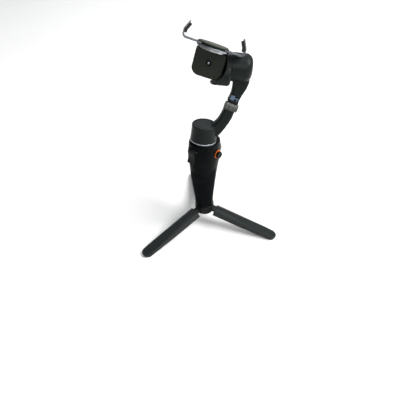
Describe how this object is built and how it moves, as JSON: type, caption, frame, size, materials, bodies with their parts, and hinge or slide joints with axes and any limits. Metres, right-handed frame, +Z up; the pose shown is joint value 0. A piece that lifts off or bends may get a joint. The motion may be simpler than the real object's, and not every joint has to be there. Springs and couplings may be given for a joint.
{
  "type": "camera gimbal",
  "caption": "Folding hand gimbal for a phone: sprung magnetic clamp, pan, roll and tilt motors, folding arm, extension rod, control handle and folding table stand.",
  "frame": {"origin": "on the floor under the axis of the handle, in the middle of the open stand", "axes": "+Z up along the handle; -Y towards the trigger, +Y towards the control panel; +X towards the focus wheel"},
  "size_m": [0.2305, 0.2111, 0.3321],
  "materials": {
    "dark_shell": "satin moulded plastic",
    "gloss_dark": "gloss",
    "soft_grip": "fine grain",
    "pad_rubber": "matte",
    "light_grey": "satin",
    "silver_metal": "brushed",
    "steel": "brushed",
    "brass": "turned",
    "copper": "wound wire",
    "accent_orange": "satin",
    "accent_red": "satin",
    "circuit": "matte",
    "cell_wrap": "satin",
    "window": "smoked"
  },
  "bodies": {
    "handle": {"tripod_hub": "dark_shell", "leg_pins": "steel", "tripod_stud": "steel", "handle_front": "dark_shell", "handle_rear": "dark_shell", "grip_skin": "soft_grip", "thread_insert": "brass", "rod_guide": "dark_shell", "trigger_pin": "steel", "wheel_ring": "accent_orange", "usb_port": "steel", "handle_screws": "steel", "main_board": "circuit", "battery_pack": "cell_wrap", "control_panel": "gloss_dark", "status_window": "window", "joystick_ring": "gloss_dark"},
    "leg_1": {"leg_1": "dark_shell", "leg_pad_1": "pad_rubber"},
    "leg_2": {"leg_2": "dark_shell", "leg_pad_2": "pad_rubber"},
    "leg_3": {"leg_3": "dark_shell", "leg_pad_3": "pad_rubber"},
    "rod_low": {"rod_stage_1": "silver_metal"},
    "rod_middle": {"rod_stage_2": "silver_metal"},
    "pan_foot": {"rod_stage_3": "silver_metal", "pan_base": "dark_shell", "pan_ring": "silver_metal", "pan_coil": "copper", "pan_bearing": "steel"},
    "pan_arm": {"pan_housing": "dark_shell", "lower_arm": "dark_shell", "hinge_barrel": "light_grey", "hinge_pin": "steel"},
    "upper_arm": {"hinge_knuckle": "light_grey", "upper_arm": "dark_shell", "latch_plate": "steel", "roll_housing": "dark_shell"},
    "bracket": {"tilt_bracket": "dark_shell", "roll_coil": "copper", "roll_bearing": "steel", "tilt_coil": "copper", "tilt_bearing": "steel"},
    "tilt_head": {"tilt_housing": "dark_shell", "tilt_cap": "silver_metal", "mount_plate": "steel"},
    "clamp": {"clamp_edge": "silver_metal", "clamp_base": "dark_shell", "clamp_pad": "pad_rubber"},
    "clamp_left": {"clamp_arm_left": "steel", "clamp_tip_left": "pad_rubber"},
    "clamp_right": {"clamp_arm_right": "steel", "clamp_tip_right": "pad_rubber"},
    "trigger": {"trigger": "dark_shell"},
    "side_wheel": {"side_wheel": "gloss_dark"},
    "joystick_yoke": {"joystick_yoke": "steel"},
    "joystick": {"joystick": "soft_grip"},
    "mode_button": {"mode_button": "dark_shell"},
    "record_button": {"record_button": "accent_red"},
    "switch_button": {"switch_button": "dark_shell"}
  },
  "joints": [
    {"name": "leg_fold_1", "type": "hinge", "parent": "handle", "child": "leg_1", "pos_m": [0.01069, 0.00501, 0.03493], "axis": [-0.4242, 0.9056, 0], "range_deg": [0, 75.4]},
    {"name": "leg_fold_2", "type": "hinge", "parent": "handle", "child": "leg_2", "pos_m": [-0.00968, 0.00675, 0.03493], "axis": [-0.5721, -0.8202, 0], "range_deg": [0, 75.4]},
    {"name": "leg_fold_3", "type": "hinge", "parent": "handle", "child": "leg_3", "pos_m": [-0.00101, -0.01176, 0.03493], "axis": [0.9963, -0.0854, 0], "range_deg": [0, 75.4]},
    {"name": "rod_extend", "type": "slide", "parent": "handle", "child": "rod_low", "axis": [0, 0, 1], "range_m": [0, 0.062]},
    {"name": "rod_extend_2", "type": "slide", "parent": "rod_low", "child": "rod_middle", "axis": [0, 0, 1], "range_m": [0, 0.062]},
    {"name": "rod_extend_3", "type": "slide", "parent": "rod_middle", "child": "pan_foot", "axis": [0, 0, 1], "range_m": [0, 0.062]},
    {"name": "pan_turn", "type": "hinge", "parent": "pan_foot", "child": "pan_arm", "pos_m": [0, 0, 0.17393], "axis": [0, 0.1253, 0.9921], "range_deg": [-115.2, 217.9]},
    {"name": "arm_fold", "type": "hinge", "parent": "pan_arm", "child": "upper_arm", "pos_m": [0.02764, 0.02647, 0.22593], "axis": [0.6879, 0.6224, -0.3733], "range_deg": [0, 100]},
    {"name": "roll_turn", "type": "hinge", "parent": "upper_arm", "child": "bracket", "pos_m": [0, 0.01316, 0.2781], "axis": [0.7193, 0.6892, -0.0871], "range_deg": [-150, 95]},
    {"name": "tilt_turn", "type": "hinge", "parent": "bracket", "child": "tilt_head", "pos_m": [-0.00161, 0.01302, 0.2821], "axis": [0.6851, -0.6832, 0.2527], "range_deg": [0, 120]},
    {"name": "clamp_release", "type": "slide", "parent": "tilt_head", "child": "clamp", "axis": [0.0374, 0.3794, 0.9245], "range_m": [0, 0.03]},
    {"name": "clamp_open", "type": "slide", "parent": "clamp", "child": "clamp_left", "axis": [-0.7275, -0.6239, 0.2855], "range_m": [0, 0.0085], "stiffness_N_per_m": 250, "springref_m": -0.012},
    {"name": "clamp_open_right", "type": "slide", "parent": "clamp", "child": "clamp_right", "axis": [0.7275, 0.6239, -0.2855], "range_m": [0, 0.0085], "stiffness_N_per_m": 250, "springref_m": -0.012},
    {"name": "trigger_pull", "type": "hinge", "parent": "handle", "child": "trigger", "pos_m": [0, -0.0213, 0.16443], "axis": [1, 0, 0], "range_deg": [0, 6], "stiffness_Nm_per_rad": 0.06, "springref_deg": -8.59},
    {"name": "wheel_spin", "type": "hinge", "parent": "handle", "child": "side_wheel", "pos_m": [0.01983, 0.01, 0.15143], "axis": [1, 0, 0], "continuous": true},
    {"name": "stick_up_down", "type": "hinge", "parent": "handle", "child": "joystick_yoke", "pos_m": [0, 0.02741, 0.14693], "axis": [1, 0, 0], "range_deg": [-12, 12], "stiffness_Nm_per_rad": 0.01},
    {"name": "stick_left_right", "type": "hinge", "parent": "joystick_yoke", "child": "joystick", "pos_m": [0, 0.02741, 0.14693], "axis": [0, 0, 1], "range_deg": [-12, 12], "stiffness_Nm_per_rad": 0.01},
    {"name": "mode_press", "type": "slide", "parent": "handle", "child": "mode_button", "axis": [0, -1, 0], "range_m": [0, 0.0006], "stiffness_N_per_m": 900, "springref_m": -0.0006},
    {"name": "record_press", "type": "slide", "parent": "handle", "child": "record_button", "axis": [0, -1, 0], "range_m": [0, 0.0006], "stiffness_N_per_m": 900, "springref_m": -0.0006},
    {"name": "switch_press", "type": "slide", "parent": "handle", "child": "switch_button", "axis": [0, -1, 0], "range_m": [0, 0.0006], "stiffness_N_per_m": 900, "springref_m": -0.0006}
  ],
  "couplings": [
    {"joint": "rod_extend_2", "follows": "rod_extend", "ratio": 1},
    {"joint": "rod_extend_3", "follows": "rod_extend", "ratio": 1},
    {"joint": "clamp_open_right", "follows": "clamp_open", "ratio": 1}
  ]
}
